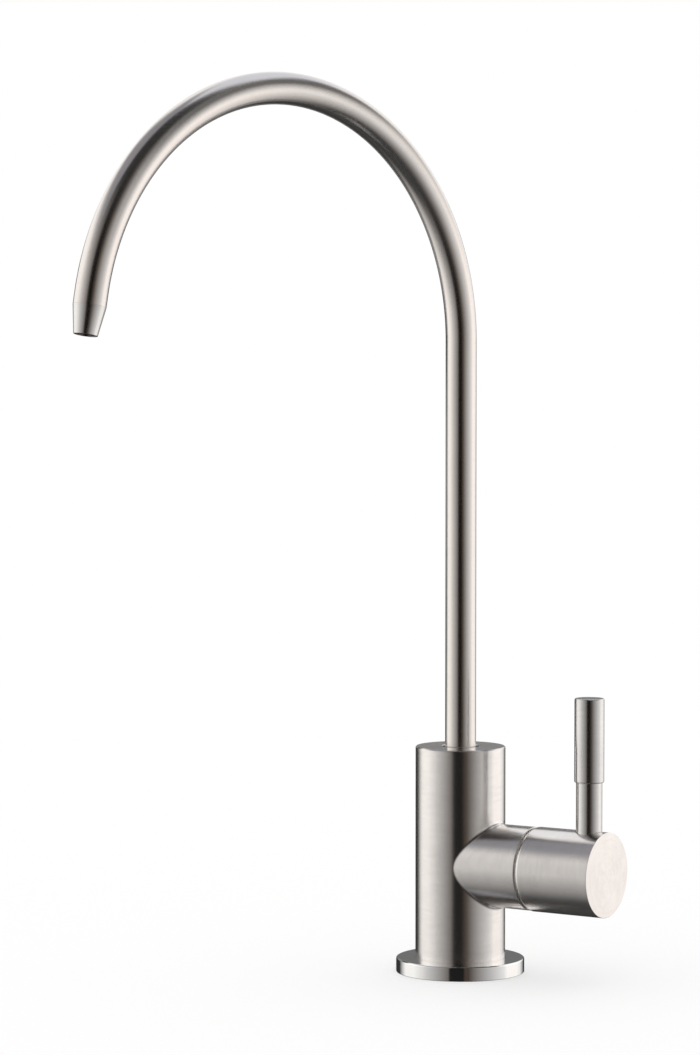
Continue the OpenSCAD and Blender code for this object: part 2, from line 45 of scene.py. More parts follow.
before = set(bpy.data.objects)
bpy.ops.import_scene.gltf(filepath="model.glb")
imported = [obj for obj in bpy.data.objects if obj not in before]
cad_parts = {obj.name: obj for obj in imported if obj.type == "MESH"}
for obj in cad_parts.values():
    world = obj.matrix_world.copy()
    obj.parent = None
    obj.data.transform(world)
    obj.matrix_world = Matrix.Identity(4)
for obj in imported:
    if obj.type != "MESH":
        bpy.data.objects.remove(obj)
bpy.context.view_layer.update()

MM = 0.001
TURN = 2 * math.pi
ROUND_STEPS = 192           # faces around a turned piece
EDGE_STEPS = 6              # faces across a rounded edge
BEND_STEPS = 220            # faces along the spout's bend
THREAD_STEPS = 96           # faces around the shank
BODY_WALL = (256, 64, 40)   # faces around and up a pierced wall, and out from its hole
HUB_WALL = (256, 48, 32)
HOLE_CROWD = 1.5            # how closely a pierced wall's faces crowd to its hole
MERGE = 1e-6                # points closer than this are one point
SHARP = math.radians(35)    # edges that turn more than this stay crisp
GRAIN = "grain"             # UV layer: across the grain, along the grain, in metres
CLEAR = 0.05 * MM           # between pieces that are put together

BODY_LOW, BODY_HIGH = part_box("body")
BASE_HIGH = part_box("base_plate")[1]
GASKET_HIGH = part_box("base_gasket")[1]
SHANK_LOW, SHANK_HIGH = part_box("shank")
WEAR_LOW, WEAR_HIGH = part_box("wear_ring")
SPIGOT_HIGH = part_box("spout_spigot")[1]
TUBE_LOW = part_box("spout_tube")[0]
HUB_LOW, HUB_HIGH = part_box("handle_hub")
ROD_LOW, ROD_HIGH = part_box("lever_rod")
GRIP_LOW, GRIP_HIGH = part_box("lever_grip")
ARM_Z = (HUB_LOW.z + HUB_HIGH.z) / 2
LEVER_X = (GRIP_LOW.x + GRIP_HIGH.x) / 2


def length(name, description, millimetres):
    return FloatProperty(name=name, description=description, default=millimetres * MM, subtype="DISTANCE")


def angle(name, description, degrees):
    return FloatProperty(name=name, description=description, default=math.radians(degrees), subtype="ANGLE")


def share(name, description, default):
    return FloatProperty(name=name, description=description, default=default, min=0.0, max=1.0,
                         subtype="FACTOR")


def colour(name, description, default):
    return FloatVectorProperty(name=name, description=description, default=default, size=3, subtype="COLOR")


class TapBodySizes(PropertyGroup):
    boss_d: length("Boss diameter", "Diameter of the side boss", 32.2)
    blend: length("Blend", "Radius between column and boss", 1.5)
    top_edge: length("Top edge", "Bevel of the column's top edge", 0.4)
    boss_edge: length("Boss edge", "Bevel of the boss's end", 0.25)
    socket_depth: length("Socket depth", "Depth of the spout's socket", 26.2)
    socket_edge: length("Socket edge", "Bevel at the mouth of the spout's socket", 0.25)
    plenum_d: length("Plenum diameter", "Chamber below the spout's socket", 11.0)
    plenum_depth: length("Plenum depth", "Depth of that chamber", 8.0)
    stub_d: length("Stub bore", "Bore for the shank's stub", 10.0)
    stub_depth: length("Stub bore depth", "Depth of the stub's bore and its seal", 14.6)
    valve_d: length("Valve thread", "Bore of the cartridge's thread", 21.0)
    valve_thread: length("Valve thread length", "Length of the cartridge's thread", 10.0)
    chamber_d: length("Valve chamber", "Bore of the chamber behind the thread", 20.4)
    chamber_depth: length("Valve chamber depth", "Depth of the valve seat in the boss", 23.4)
    base_edge: length("Base edge", "Edge radius of the base plate", 0.7)
    base_foot: length("Base foot", "Edge radius of the base plate at the deck", 0.25)
    base_seat: length("Base seat", "Depth of the column's seat in the base plate", 1.0)
    seat_edge: length("Seat edge", "Edge radius of the column's seat", 0.1)


class TapSpoutSizes(PropertyGroup):
    tube_d: length("Tube diameter", "Outside diameter of the spout tube", 12.0)
    wall: length("Tube wall", "Wall of the spout tube", 1.0)
    riser_z: length("Riser height", "Height at which the bend starts", 245.4)
    bend_r: length("Bend radius", "Radius of the bend's centre line", 93.1)
    bend: angle("Bend", "Sweep of the bend", 169.5)
    tail: length("Tail", "Straight tube after the bend", 4.4)
    turn: angle("Spout turn", "Turn of the spout from the arm", -103.4)
    nozzle_len: length("Nozzle length", "Length of the tapered nozzle", 10.5)
    mouth_d: length("Mouth diameter", "Outside diameter of the nozzle's mouth", 8.7)
    mouth_rim: length("Mouth rim", "Metal around the outlet", 0.65)
    lip: length("Lip", "Edge radius of the nozzle's mouth", 0.2)
    plug_len: length("Plug length", "Nozzle's plug inside the tube", 3.6)
    plug_edge: length("Plug edge", "Edge radius of the plug's end", 0.2)
    seat_depth: length("Insert seat", "Depth of the flow straightener's seat", 6.6)
    seat_wall: length("Insert wall", "Wall around the flow straightener at the mouth", 0.15)
    join: length("Join line", "Bevels that meet where nozzle and tube join", 0.05)


class TapHandleSizes(PropertyGroup):
    wall: length("Hub wall", "Wall of the hub's skirt", 3.1)
    solid: length("Hub end", "Solid metal behind the end face", 15.2)
    end_wall: length("End wall", "Metal between the stem's socket and the end face", 4.7)
    socket_d: length("Stem socket", "Bore for the valve's stem", 8.08)
    rim_len: length("Rim length", "Length of the bevel on the hub's rim", 1.2)
    rim_depth: length("Rim depth", "Depth of the bevel on the hub's rim", 0.57)
    rim_edge: length("Rim edge", "Rounding of the bevel's outer edge", 1.0)
    skirt_edge: length("Skirt edge", "Edge radius between the rim's bevel and the skirt's end", 0.12)
    end_edge: length("End edge", "Bevel of the end face", 0.1)
    spot_d: length("Spot face", "Diameter of the lever's spot face", 10.5)
    spot_depth: length("Spot depth", "Spot face below the lowest point of its edge", 0.3)
    thread_d: length("Lever thread", "Thread of the lever", 6.0)
    stud_edge: length("Stud edge", "Edge radius at the end of that thread", 0.3)
    tenon_d: length("Tenon", "Rod's tenon inside the grip", 7.0)
    tenon_edge: length("Tenon edge", "Edge radius at the tenon's end", 0.25)
    grip_edge: length("Grip edge", "Edge radius of the grip", 0.6)
    rod_edge: length("Rod edge", "Broken edge at the rod's foot", 0.2)


class TapShankSizes(PropertyGroup):
    shank_d: length("Shank diameter", "Plain neck of the shank", 11.1)
    neck: length("Neck", "Plain neck below the deck's face", 5.0)
    crest_d: length("Thread crest", "Diameter over the thread", 10.9)
    depth: length("Thread depth", "Depth of the thread", 0.58)
    pitch: length("Thread pitch", "Pitch of the thread", 1.06)
    way_d: length("Water way", "Bore of the shank", 5.2)
    inlet_d: length("Inlet", "Bore for the water tube", 6.5)
    inlet_depth: length("Inlet depth", "Depth of the bore for the water tube", 20.0)
    edge: length("Stub edge", "Bevel of the stub's top", 0.25)


class TapFinish(PropertyGroup):
    satin: colour("Satin steel", "Turned column, boss and hub", (0.87, 0.84, 0.812))
    lever: colour("Lever steel", "Rod and grip of the lever", (0.775, 0.765, 0.752))
    tube: colour("Tube steel", "Drawn and brushed tube", (0.83, 0.787, 0.75))
    nozzle: colour("Nozzle steel", "Turned nozzle at the tube's end", (0.805, 0.79, 0.773))
    # the nozzle's end face and bore are given this darker base colour
    bore: colour("Darker bore", "Nozzle's end and bore, made darker", (0.3, 0.295, 0.29))
    polished: colour("Polished steel", "Base plate and small steel pieces", (0.955, 0.95, 0.94))
    # painted shade: the spigot's steel is darkened so that its ring between tube and socket stands for the
    # shade in that gap
    dark_steel: colour("Dark steel", "Spigot under the tube, darkened as painted shade of its gap", (0.16, 0.16, 0.165))
    brass: colour("Brass", "Shank, cartridge and nut", (0.72, 0.52, 0.24))
    rubber: colour("Rubber", "Gasket and seal rings", (0.022, 0.022, 0.024))
    white_plastic: colour("White plastic", "Bearing and slip pieces", (0.82, 0.82, 0.79))
    black_plastic: colour("Black plastic", "Spreader washer", (0.03, 0.03, 0.032))
    ceramic: colour("Ceramic", "Valve discs", (0.86, 0.85, 0.82))
    silicone: colour("Silicone", "Seal of the valve seat", (0.42, 0.045, 0.03))
    black_steel: colour("Black steel", "Set screw", (0.05, 0.05, 0.055))
    floor: colour("Floor", "Pale floor", (0.5, 0.5, 0.5))


class TapStudio(PropertyGroup):
    azimuth: angle("Camera azimuth", "Camera's place, from the front to the arm's side", 33.14)
    elevation: angle("Camera elevation", "Camera's height above the aim", 2.97)
    distance: length("Camera distance", "From the camera to the aim", 1400.0)
    aim: FloatVectorProperty(name="Aim", description="Point that the camera looks at", size=3,
                             default=(-0.0329, -0.0283, 0.1736), subtype="XYZ", unit="LENGTH")
    lens: FloatProperty(name="Lens", description="Focal length in millimetres", default=123.6)
    sky: share("Surround", "Level of the plain white surround", 1.0)
    floor_r: length("Floor radius", "Radius at which the floor has faded out", 1000.0)


# Shapes


class Shell:
    """Sheets of rings that are joined into one closed mesh."""

    def __init__(self):
        self.mesh = bmesh.new()
        self.grain = self.mesh.loops.layers.uv.new(GRAIN)

    def sheet(self, rings, grain, closed=False):
        """Adds faces between rings of points. Each ring's grain has one place more than it has points."""
        rows = [[self.mesh.verts.new(point) for point in ring] for ring in rings]
        count = len(rows[0])
        for low in range(len(rows) if closed else len(rows) - 1):
            high = (low + 1) % len(rows)
            for i in range(count):
                k = (i + 1) % count
                face = self.mesh.faces.new((rows[low][i], rows[low][k], rows[high][k], rows[high][i]))
                places = (grain[low][i], grain[low][i + 1], grain[low + 1][i + 1], grain[low + 1][i])
                for loop, place in zip(face.loops, places):
                    loop[self.grain].uv = place

    def piece(self, name, material, body, slot, *nodes):
        """Closes the mesh and makes it an object that rides on a body in place of CAD nodes, which it
        hides.
        """
        bmesh.ops.remove_doubles(self.mesh, verts=self.mesh.verts, dist=MERGE)
        bmesh.ops.dissolve_degenerate(self.mesh, edges=self.mesh.edges, dist=MERGE / 10)
        bmesh.ops.recalc_face_normals(self.mesh, faces=self.mesh.faces)
        open_edges = sum(not edge.is_manifold for edge in self.mesh.edges)
        if open_edges:
            raise RuntimeError(f"{name} has {open_edges} open edges")
        data = bpy.data.meshes.new(name)
        self.mesh.to_mesh(data)
        self.mesh.free()
        data.shade_smooth()
        data.set_sharp_from_angle(angle=SHARP)
        data.materials.append(material)
        made = bpy.data.objects.new(name, data)
        bpy.context.scene.collection.objects.link(made)
        normals = made.modifiers.new("even_shading", "WEIGHTED_NORMAL")
        normals.keep_sharp = True
        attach(made, body)
        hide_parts(*nodes)
        return made


def rounded(corners):
    """Outline of (radius, height) points from corners of (radius, height, edge radius)."""
    outline = []
    for i, (r, z, edge) in enumerate(corners):
        here = np.array((r, z))
        if not edge:
            outline.append(tuple(here))
            continue
        before = np.array(corners[i - 1][:2]) - here
        after = np.array(corners[(i + 1) % len(corners)][:2]) - here
        before /= np.linalg.norm(before)
        after /= np.linalg.norm(after)
        half = math.acos(np.clip(before @ after, -1, 1)) / 2
        centre = here + (before + after) / np.linalg.norm(before + after) * edge / math.sin(half)
        first = here + before * edge / math.tan(half) - centre
        last = here + after * edge / math.tan(half) - centre
        start = math.atan2(first[1], first[0])
        sweep = (math.atan2(last[1], last[0]) - start + math.pi) % TURN - math.pi
        for step in range(EDGE_STEPS + 1):
            at = start + sweep * step / EDGE_STEPS
            outline.append((centre[0] + edge * math.cos(at), centre[1] + edge * math.sin(at)))
    return outline


def turned(shell, outline, place, angles=None, closed=True):
    """Turns an outline of (radius, height) about the local Z axis of a place."""
    if angles is None:
        angles = [TURN * i / ROUND_STEPS for i in range(ROUND_STEPS)]
    widest = max(r for r, z in outline)
    around = [a * widest for a in angles] + [(angles[0] + TURN) * widest]
    run = [0.0]
    loop = (outline + outline[:1]) if closed else outline
    for low, high in zip(loop, loop[1:]):
        run.append(run[-1] + math.dist(low, high))
    rings = [[place @ Vector((r * math.cos(a), r * math.sin(a), z)) for a in angles] for r, z in outline]
    shell.sheet(rings, [[(across, along) for along in around] for across in run], closed)


def pierced(shell, radius, low, high, hole, place, steps):
    """Round wall from low to high with a hole about (angle 0, mid height).

    hole(t) gives the hole's edge as (angle, height), and its turn t grows from the angle to the height.
    Returns the turns of the hole's points and the angles of both end rings.
    """
    across, up, deep = steps
    angles = [-math.pi + TURN * i / across for i in range(across + 1)]
    heights = [low + (high - low) * i / up for i in range(up + 1)]
    border = [(math.pi, z) for z in heights[:-1]] + [(a, high) for a in angles[:0:-1]]
    border += [(-math.pi, z) for z in heights[:0:-1]] + [(a, low) for a in angles[:-1]]
    wide = hole(0)[0]
    middle = hole(0)[1]
    tall = hole(math.pi / 2)[1] - middle
    turns = [math.atan2((z - middle) / tall, a / wide) for a, z in border]
    edge = np.array([hole(t) for t in turns])
    border = np.array(border)
    rings, grain = [], []
    for step in range(deep + 1):
        part = (step / deep) ** HOLE_CROWD
        spots = edge + (border - edge) * part
        rings.append([place @ Vector((radius * math.cos(a), radius * math.sin(a), z)) for a, z in spots])
        places = [(z, a * radius) for a, z in spots]
        grain.append(places + places[:1])
    shell.sheet(rings, grain)
    return turns, angles[:-1]


def ring_sheet(shell, rings, turns, radius):
    """Sheet between rings that share their turns, with the grain along the rings."""
    run = [0.0]
    for low, high in zip(rings, rings[1:]):
        run.append(run[-1] + (high[0] - low[0]).length)
    unrolled = np.unwrap(turns)
    whole = math.copysign(TURN, unrolled[-1] - unrolled[0])
    around = [t * radius for t in (*unrolled, unrolled[0] + whole)]
    shell.sheet(rings, [[(across, along) for along in around] for across in run])


def swung(first, last, part):
    """Vector swung from first towards last, which is as long."""
    whole = first.angle(last)
    return (first * math.sin((1 - part) * whole) + last * math.sin(part * whole)) / math.sin(whole)


def along_arm(x):
    """Local Z along the arm from x, local X up."""
    return Matrix(((0, 0, 1, x), (0, -1, 0, 0), (1, 0, 0, ARM_Z), (0, 0, 0, 1)))


# Finishes


class Finish:
    """A procedural material under construction."""

    def __init__(self, name):
        self.material = bpy.data.materials.new(name)
        self.material.use_nodes = True
        self.tree = self.material.node_tree
        self.shader = self.tree.nodes["Principled BSDF"]

    def node(self, kind, **values):
        made = self.tree.nodes.new(kind)
        for name, value in values.items():
            setattr(made, name, value)
        return made

    def link(self, source, target):
        self.tree.links.new(source, target)

    def noise(self, space, scale, detail=3.0, stretch=(1.0, 1.0, 1.0)):
        """Fac of a noise in UV or Object space, in cells per metre, stretched by axis."""
        place = self.node("ShaderNodeTexCoord")
        spread = self.node("ShaderNodeMapping")
        spread.inputs["Scale"].default_value = stretch
        noise = self.node("ShaderNodeTexNoise")
        noise.inputs["Scale"].default_value = scale
        noise.inputs["Detail"].default_value = detail
        self.link(place.outputs[space], spread.inputs["Vector"])
        self.link(spread.outputs["Vector"], noise.inputs["Vector"])
        return noise.outputs["Fac"]

    def average(self, first, second):
        """Mean of two noises."""
        mean = self.node("ShaderNodeMix", data_type="FLOAT")
        mean.inputs["Factor"].default_value = 0.5
        self.link(first, mean.inputs["A"])
        self.link(second, mean.inputs["B"])
        return mean.outputs["Result"]

    def tint(self, fac, base, spread):
        """Base colour that swings by a share around its tone."""
        mix = self.node("ShaderNodeMix", data_type="RGBA")
        mix.inputs["A"].default_value = (*(c * (1 - spread) for c in base), 1)
        mix.inputs["B"].default_value = (*(min(1.0, c * (1 + spread)) for c in base), 1)
        self.link(fac, mix.inputs["Factor"])
        self.link(mix.outputs["Result"], self.shader.inputs["Base Color"])

    def bore(self, start, tone):
        """Darkens a turned piece's base colour where its outline's run is past a start, as in the nozzle's
        bore.
        """
        place = self.node("ShaderNodeTexCoord")
        run = self.node("ShaderNodeSeparateXYZ")
        past = self.node("ShaderNodeMath", operation="GREATER_THAN")
        past.inputs[1].default_value = start
        darkened = self.node("ShaderNodeMix", data_type="RGBA")
        darkened.inputs["B"].default_value = (*tone, 1)
        self.link(place.outputs["UV"], run.inputs["Vector"])
        self.link(run.outputs["X"], past.inputs[0])
        self.link(past.outputs["Value"], darkened.inputs["Factor"])
        self.link(self.shader.inputs["Base Color"].links[0].from_socket, darkened.inputs["A"])
        self.link(darkened.outputs["Result"], self.shader.inputs["Base Color"])

    def roughness(self, fac, low, high):
        """Roughness that a noise moves from low to high."""
        span = self.node("ShaderNodeMapRange")
        span.inputs["To Min"].default_value = low
        span.inputs["To Max"].default_value = high
        self.link(fac, span.inputs["Value"])
        self.link(span.outputs["Result"], self.shader.inputs["Roughness"])

    def bump(self, fac, height, strength):
        """Relief of a noise, of a height in metres."""
        bump = self.node("ShaderNodeBump")
        bump.inputs["Distance"].default_value = height
        bump.inputs["Strength"].default_value = strength
        self.link(fac, bump.inputs["Height"])
        self.link(bump.outputs["Normal"], self.shader.inputs["Normal"])

    def brush(self, amount):
        """Highlights drawn out across the grain, as on turned or brushed metal."""
        self.shader.inputs["Anisotropic"].default_value = amount
        tangent = self.node("ShaderNodeTangent", direction_type="UV_MAP", uv_map=GRAIN)
        self.link(tangent.outputs["Tangent"], self.shader.inputs["Tangent"])


# Noises in cells per metre, and how they are drawn out along the grain
LINE_STRETCH = (1.0, 0.012, 1.0)
CLOUD_CELLS = 90.0
MARK_CELLS = 800.0
MARK_STRETCH = (1.0, 0.15, 1.0)
TOOL_CELLS = 900.0
METAL_CELLS = 120.0
MOULD_CELLS = 150.0
# Heights of the finest relief
LINE_HEIGHT = 0.004 * MM
TOOL_HEIGHT = 0.01 * MM
SKIN_HEIGHT = 0.02 * MM


def brushed_steel(name, base, rough, brush, lines, relief=0.25, grain=0.14, bore=None):
    """Steel with fine lines along its grain, and darker in a bore given as (start, tone)."""
    finish = Finish(name)
    finish.shader.inputs["Metallic"].default_value = 1.0
    streaks = finish.noise("UV", lines, 4.0, LINE_STRETCH)
    clouds = finish.noise("UV", CLOUD_CELLS, 2.0)
    marks = finish.noise("UV", MARK_CELLS, 3.0, MARK_STRETCH)
    finish.tint(finish.average(clouds, marks), base, grain)
    if bore:
        finish.bore(*bore)
    finish.roughness(streaks, *rough)
    finish.bump(streaks, LINE_HEIGHT, relief)
    finish.brush(brush)
    return finish.material


def plain_metal(name, base, rough, relief=0.2, spread=0.04):
    """Machined metal on CAD pieces, with soft tool marks."""
    finish = Finish(name)
    finish.shader.inputs["Metallic"].default_value = 1.0
    marks = finish.noise("Object", TOOL_CELLS, 4.0)
    finish.tint(finish.noise("Object", METAL_CELLS), base, spread)
    finish.roughness(marks, *rough)
    finish.bump(marks, TOOL_HEIGHT, relief)
    return finish.material


def moulded(name, base, rough, cells, spread, relief=0.3):
    """Moulded rubber, plastic or ceramic with a fine skin."""
    finish = Finish(name)
    skin = finish.noise("Object", cells)
    finish.tint(finish.noise("Object", MOULD_CELLS), base, spread)
    finish.roughness(skin, *rough)
    finish.bump(skin, SKIN_HEIGHT, relief)
    return finish.material


BRUSHED = {
    "turned_satin_steel": dict(tone="satin", rough=(0.20, 0.27), brush=0.5, lines=9000.0),
    "drawn_tube_steel": dict(tone="tube", rough=(0.20, 0.25), brush=0.4, lines=7000.0,
                             relief=0.03, grain=0.06),
    "nozzle_steel": dict(tone="nozzle", rough=(0.20, 0.25), brush=0.4, lines=7000.0,
                         relief=0.03, grain=0.06),
    "lever_steel": dict(tone="lever", rough=(0.20, 0.25), brush=0.5, lines=8000.0),
    "polished_base_steel": dict(tone="polished", rough=(0.07, 0.10), brush=0.3, lines=5000.0, grain=0.03),
}
PLAIN = {
    "plain_steel": dict(tone="polished", rough=(0.16, 0.24)),
    "machined_brass": dict(tone="brass", rough=(0.22, 0.34)),
    # painted shade: near-black steel for the spigot, standing for the shade in the gap around the tube's
    # foot
    "dark_steel": dict(tone="dark_steel", rough=(0.25, 0.4)),
    "black_steel": dict(tone="black_steel", rough=(0.35, 0.5)),
}
MOULDED = {
    "black_rubber": dict(tone="rubber", rough=(0.55, 0.7), cells=2500.0, spread=0.15),
    "white_plastic": dict(tone="white_plastic", rough=(0.38, 0.5), cells=1500.0, spread=0.02),
    "black_plastic": dict(tone="black_plastic", rough=(0.4, 0.52), cells=1800.0, spread=0.12),
    "ceramic": dict(tone="ceramic", rough=(0.12, 0.2), cells=3000.0, spread=0.02),
    "red_silicone": dict(tone="silicone", rough=(0.45, 0.6), cells=2000.0, spread=0.08),
}


def finish_named(name, **extra):
    """The named finish, made once."""
    if name in bpy.data.materials:
        return bpy.data.materials[name]
    for make, recipes in ((brushed_steel, BRUSHED), (plain_metal, PLAIN), (moulded, MOULDED)):
        if name in recipes:
            recipe = {**recipes[name], **extra}
            base = getattr(bpy.context.scene.tap_finish, recipe.pop("tone"))
            return make(name, base, **recipe)
    raise KeyError(f"there is no finish {name}")


# Fixed pieces


class TAP_OT_body(Operator):
    """Column and side boss, one machined piece with a rounded inside corner"""

    bl_idname = "tap.body"
    bl_label = "Body"

    def execute(self, context):
        size = context.scene.tap_body
        column = BODY_HIGH.y
        boss = size.boss_d / 2
        far = column + size.blend
        near = boss + size.blend

        def ball(t):
            """Centre of the ball that rolls in the corner between column and boss."""
            y = near * math.cos(t)
            return math.sqrt(far * far - y * y), y, ARM_Z + near * math.sin(t)

        def on_column(t):
            x, y, z = ball(t)
            return math.atan2(y, x), z

        shell = Shell()
        here = Matrix.Identity(4)
        top = BODY_HIGH.z - size.top_edge
        turns, angles = pierced(shell, column, BODY_LOW.z, top, on_column, here, BODY_WALL)
        # rounded inside corner, from the column to the boss
        rings = []
        for step in range(EDGE_STEPS * 2 + 1):
            ring = []
            for t in turns:
                centre = Vector(ball(t))
                first = Vector((centre.x, centre.y, 0)) * (column / far) + Vector((0, 0, centre.z)) - centre
                last = Vector((0, -size.blend * math.cos(t), -size.blend * math.sin(t)))
                ring.append(centre + swung(first, last, step / (EDGE_STEPS * 2)))
            rings.append(ring)
        ring_sheet(shell, rings, turns, boss)
        # boss, its end face and the valve's bore
        end = BODY_HIGH.x
        groove = WEAR_LOW.x
        wear_out = (WEAR_HIGH.y - WEAR_LOW.y) / 2 + CLEAR
        wear_in = HUB_HIGH.y - context.scene.tap_handle.wall + 3 * CLEAR
        valve = size.valve_d / 2
        chamber = size.chamber_d / 2
        thread_end = end - size.valve_thread
        valve_seat = end - size.chamber_depth
        outline = [(boss, end - size.boss_edge), (boss - size.boss_edge, end), (wear_out, end),
                   (wear_out, groove), (wear_in, groove), (wear_in, end), (valve, end), (valve, thread_end),
                   (chamber, thread_end), (chamber, valve_seat), (0, valve_seat)]
        rows = [rings[-1]]
        rows += [[Vector((x, r * math.cos(t), ARM_Z + r * math.sin(t))) for t in turns] for r, x in outline]
        ring_sheet(shell, rows, turns, boss)
        # top face with the spout's socket, and underside with the shank's bore
        socket = SPIGOT_HIGH.x + CLEAR
        face = BODY_HIGH.z
        floor = face - size.socket_depth
        plenum = size.plenum_d / 2
        plenum_floor = floor - size.plenum_depth
        turned(shell, [(column, top), (column - size.top_edge, face), (socket + size.socket_edge, face),
                       (socket, face - size.socket_edge), (socket, floor), (plenum, floor),
                       (plenum, plenum_floor), (0, plenum_floor)],
               here, angles, closed=False)
        stub = size.stub_d / 2
        stub_top = BODY_LOW.z + size.stub_depth
        turned(shell, [(column, BODY_LOW.z), (stub, BODY_LOW.z), (stub, stub_top), (0, stub_top)],
               here, angles, closed=False)
        steel = finish_named("turned_satin_steel")
        shell.piece("column_and_boss", steel, "tap_body", "satin_steel", "body")
        return {"FINISHED"}


class TAP_OT_base(Operator):
    """Polished base plate with the seats of the column and of the gasket"""

    bl_idname = "tap.base"
    bl_label = "Base plate"

    def execute(self, context):
        size = context.scene.tap_body
        rim = BASE_HIGH.x
        top = BASE_HIGH.z
        seat_r = BODY_HIGH.y + CLEAR
        bore = SHANK_HIGH.x + CLEAR
        gasket = GASKET_HIGH.x + CLEAR
        seat_z = top - size.base_seat
        outline = rounded([
            (rim, 0, size.base_foot), (rim, top, size.base_edge), (seat_r, top, size.seat_edge),
            (seat_r, seat_z, 0), (bore, seat_z, 0), (bore, GASKET_HIGH.z, 0), (gasket, GASKET_HIGH.z, 0),
            (gasket, 0, 0),
        ])
        shell = Shell()
        turned(shell, outline, Matrix.Identity(4))
        steel = finish_named("polished_base_steel")
        shell.piece("round_base_plate", steel, "tap_body", "polished_steel", "base_plate")
        return {"FINISHED"}


class TAP_OT_shank(Operator):
    """Hollow shank with a true screw thread"""

    bl_idname = "tap.shank"
    bl_label = "Shank"

    def execute(self, context):
        size = context.scene.tap_shank
        neck = -size.neck
        foot = SHANK_LOW.z
        crest = size.crest_d / 2
        root = crest - size.depth
        plain = size.shank_d / 2
        stub = context.scene.tap_body.stub_d / 2 - CLEAR
        way = size.way_d / 2
        inlet = size.inlet_d / 2
        columns = THREAD_STEPS
        # one pitch of the thread: flat crest, flank, flat root, flank
        tooth = ((0.0, crest), (0.125, crest), (0.5, root), (0.625, root))
        rows = len(tooth) * (int((neck - foot) / size.pitch) + 2)
        lead_in = size.pitch

        def spot(row, column):
            turn = column / columns
            part, radius = tooth[row % len(tooth)]
            z = neck - (row // len(tooth) + part + turn - 1) * size.pitch
            z = min(neck, max(foot, z))
            ends = min(1.0, (neck - z) / lead_in)
            radius = crest + (radius - crest) * ends
            radius = min(radius, root + max(0.0, z - foot) / lead_in * size.depth)
            return Vector((radius * math.cos(turn * TURN), -radius * math.sin(turn * TURN), z))

        shell = Shell()
        lines = [[spot(row, column) for column in range(columns + 1)] for row in range(rows)]
        verts = [[shell.mesh.verts.new(point) for point in line] for line in lines]
        for row in range(rows - 1):
            for column in range(columns):
                face = shell.mesh.faces.new((verts[row][column], verts[row][column + 1],
                                             verts[row + 1][column + 1], verts[row + 1][column]))
                for loop in face.loops:
                    loop[shell.grain].uv = (loop.vert.co.z, column * size.pitch)
        angles = [-TURN * i / columns for i in range(columns)]
        here = Matrix.Identity(4)
        top = SHANK_HIGH.z
        seat = BODY_LOW.z
        collar = SHANK_HIGH.x
        collar_foot = GASKET_HIGH.z
        inlet_end = foot + size.inlet_depth
        turned(shell, [(crest, neck), (plain, neck), (plain, collar_foot), (collar, collar_foot),
                       (collar, seat), (stub, seat), (stub, top - size.edge), (stub - size.edge, top),
                       (way, top), (way, inlet_end), (inlet, inlet_end), (inlet, foot), (root, foot)],
               here, angles, closed=False)
        shell.piece("threaded_shank", finish_named("machined_brass"), "tap_body", "brass", "shank")
        return {"FINISHED"}


# Spout


def at_outlet(size, along):
    """Place on the outlet's axis, local Z along the flow, from the end of the bend."""
    swing = Matrix.Rotation(size.turn, 4, "Z") @ Matrix.Translation((size.bend_r, 0, size.riser_z))
    return swing @ Matrix.Rotation(size.bend, 4, "Y") @ Matrix.Translation((-size.bend_r, 0, along))


class TAP_OT_spout(Operator):
    """Bent spout tube, open from end to end"""

    bl_idname = "tap.spout"
    bl_label = "Spout tube"

    def execute(self, context):
        size = context.scene.tap_spout
        outer = size.tube_d / 2
        inner = outer - size.wall
        swing = Matrix.Rotation(size.turn, 4, "Z")
        riser = size.riser_z - TUBE_LOW.z
        pivot = swing @ Matrix.Translation((size.bend_r, 0, size.riser_z))
        # places along the tube, each with the run up to it
        places = [(swing @ Matrix.Translation((0, 0, TUBE_LOW.z)), 0.0),
                  (swing @ Matrix.Translation((0, 0, size.riser_z)), riser)]
        for step in range(1, BEND_STEPS + 1):
            turn = size.bend * step / BEND_STEPS
            place = pivot @ Matrix.Rotation(turn, 4, "Y") @ Matrix.Translation((-size.bend_r, 0, 0))
            places.append((place, riser + turn * size.bend_r))
        bevel_at = size.tail - size.join
        places.append((at_outlet(size, bevel_at), places[-1][1] + bevel_at))
        walls = [(place, run, outer) for place, run in places]
        walls.append((at_outlet(size, size.tail), places[-1][1] + size.join, outer - size.join))
        walls.append((at_outlet(size, size.tail), places[-1][1] + 2 * size.join, inner))
        total = walls[-1][1]
        walls += [(place, total + (total - run), inner) for place, run in reversed(places[:-1])]
        angles = [TURN * i / ROUND_STEPS for i in range(ROUND_STEPS + 1)]
        rings = [[place @ Vector((r * math.cos(a), r * math.sin(a), 0)) for a in angles[:-1]]
                 for place, run, r in walls]
        grain = [[(run, a * outer) for a in angles] for place, run, r in walls]
        grain.append([(2 * total + size.wall, a * outer) for a in angles])
        shell = Shell()
        shell.sheet(rings, grain, closed=True)
        steel = finish_named("drawn_tube_steel")
        shell.piece("bent_spout_tube", steel, "spout", "tube_steel", "spout_tube")
        return {"FINISHED"}


